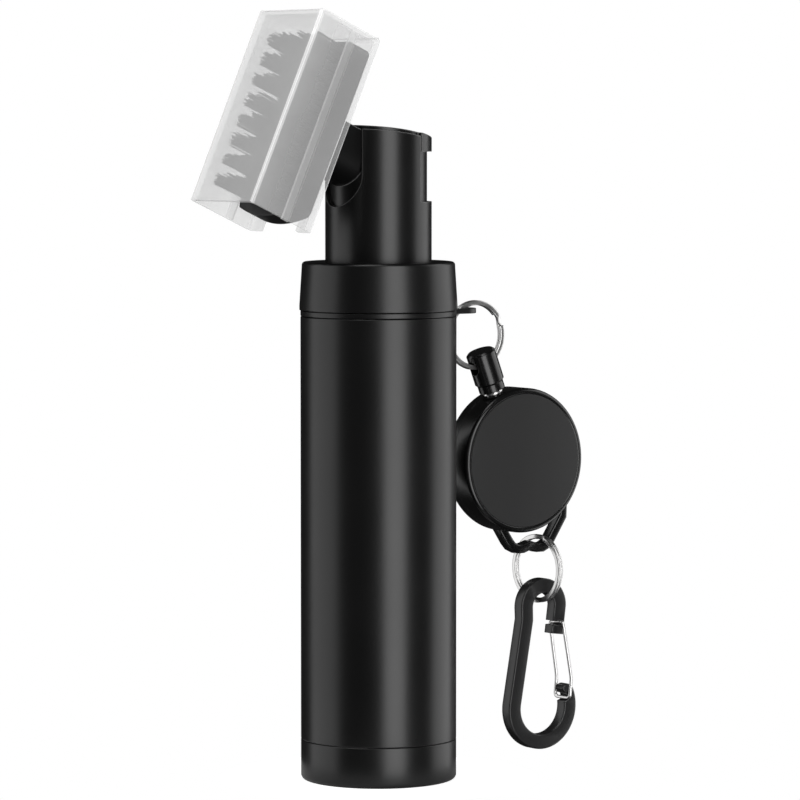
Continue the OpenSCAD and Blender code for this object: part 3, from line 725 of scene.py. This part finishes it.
def band(path, width, round_end=False):
    """The outline of a bar of even width along a path, with a flat or a round far end."""
    left, right = [], []
    for i, here in enumerate(path):
        before, after = Vector(path[max(i - 1, 0)]), Vector(path[min(i + 1, len(path) - 1)])
        along = (after - before).normalized()
        square = Vector((-along.y, along.x))
        left.append(tuple(Vector(here) + square * width / 2))
        right.append(tuple(Vector(here) - square * width / 2))
    cap = []
    if round_end:
        for turn in range(75, -90, -15):
            outward = square * sin(radians(turn)) + along * cos(radians(turn))
            cap.append(tuple(Vector(path[-1]) + outward * width / 2))
    return left + cap + right[::-1]


bail_place = Matrix.Translation(Vector((55.6, 3.6, 61.9)) * MM) @ Matrix.Rotation(pi / 2, 4, "X")
bail_width, bail_thickness = 2.7, 3.8
bail = plate("reel_bail", [band(bail_path, bail_width)], bail_thickness, 0.6, gloss_black, bail_place)
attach(bail, "reel")

dress(nickel, "reel_ferrule", "reel_axle")
dress(spring_steel, "power_spring")
acetal = moulded("spool_acetal", (0.06, 0.06, 0.065), 0.4, 0.1)
dress(acetal, "spool")

# ---------------------------------------------------------------- snap clip and its wire gate
# A satin black zinc casting with round edges: an eye for the ring, a long back and a round
# bend. The gate is one nickel-plated wire, sprung into the bend's end and shut in the nose.

# The last value paints a faint pale highlight along the clip's edges.
clip_black = moulded("clip_black_enamel", (0.014, 0.014, 0.0143), 0.34, 0.2, 0.3,
                     coat=0.15, speckle=0.0006, painted_edge_highlight=0.06)
clip_middle = Vector((59.66, 3.2, 15.1)) * MM
clip_place = Matrix.Translation(clip_middle) @ Matrix.Rotation(pi / 2, 4, "X")
nose_end, waist = (5.3, 21.2), (-5.6, 26.0)
clip_path = [nose_end] + arc(0.35, 29.6, 6.05, 0, 180, 36) + [waist] + arc(0, 0, 10.1, 170, 384, 108)
bar_width, bar_thickness = 4.3, 3.9
groove_low, groove_high, knob_high = 1.3, 3.1, 9
groove_reach, knob_reach = 9.5, 8.7
clip_outline = []
for x, y in band(clip_path, bar_width, True):
    reach = sqrt(x * x + y * y)
    inner = 0
    if groove_low < y < groove_high:
        inner = groove_reach
    elif groove_high <= y < knob_high:
        inner = knob_reach
    if x > 5 and reach < inner:
        x, y = x * inner / reach, y * inner / reach
    clip_outline.append((x, y))

# the nose's notch, cut into its inner side, which is the one short of x = 5.5
notch_depth, notch_low, notch_high, nose_inner = 6.85, 23.95, 25.15, 5.5
for i, (start, end) in enumerate(zip(clip_outline, clip_outline[1:] + clip_outline[:1])):
    low, high = sorted((start, end), key=lambda c: c[1])
    if low[1] < notch_low and high[1] > notch_high and 2 < low[0] < nose_inner and high[0] < nose_inner:
        mouth = [low[0] + (high[0] - low[0]) * (y - low[1]) / (high[1] - low[1])
                 for y in (notch_low, notch_high)]
        notch = [(mouth[0], notch_low), (notch_depth, notch_low), (notch_depth, notch_high),
                 (mouth[1], notch_high)]
        clip_outline[i + 1:i + 1] = notch if low == start else notch[::-1]
        break
clip = plate("snap_clip", [clip_outline], bar_thickness, 0.45, clip_black, clip_place, 50)
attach(clip, "clip")
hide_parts("clip_body")


def bent(corners, radius, count=6):
    """A path through corners, each rounded to a bend of about that radius."""
    path = [corners[0]]
    for before, corner, after in zip(corners, corners[1:], corners[2:]):
        before, corner, after = Vector(before), Vector(corner), Vector(after)
        back, ahead = (before - corner), (after - corner)
        cut = min(radius, back.length / 2, ahead.length / 2)
        start, end = corner + back.normalized() * cut, corner + ahead.normalized() * cut
        for i in range(count + 1):
            t = i / count
            path.append(tuple(start * (1 - t) ** 2 + corner * 2 * t * (1 - t) + end * t ** 2))
    return path + [corners[-1]]


leg, gate_wire = 3.1, 1.0
gate_path = bent([(8.6, 2.2, 0), (8.9, 2.2, leg), (9.5, 8.0, leg), (6.3, 25.0, leg), (6.25, 24.5, 0),
                  (6.3, 24.4, -leg), (8.9, 8.0, -leg), (8.3, 2.2, -leg), (8.6, 2.2, 0)], 1.3)[:-1]
gate = wire("wire_gate_bent", gate_path, gate_wire, gate_wire, 0.48, nickel, clip_place, True)
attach(gate, "gate")
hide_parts("wire_gate")
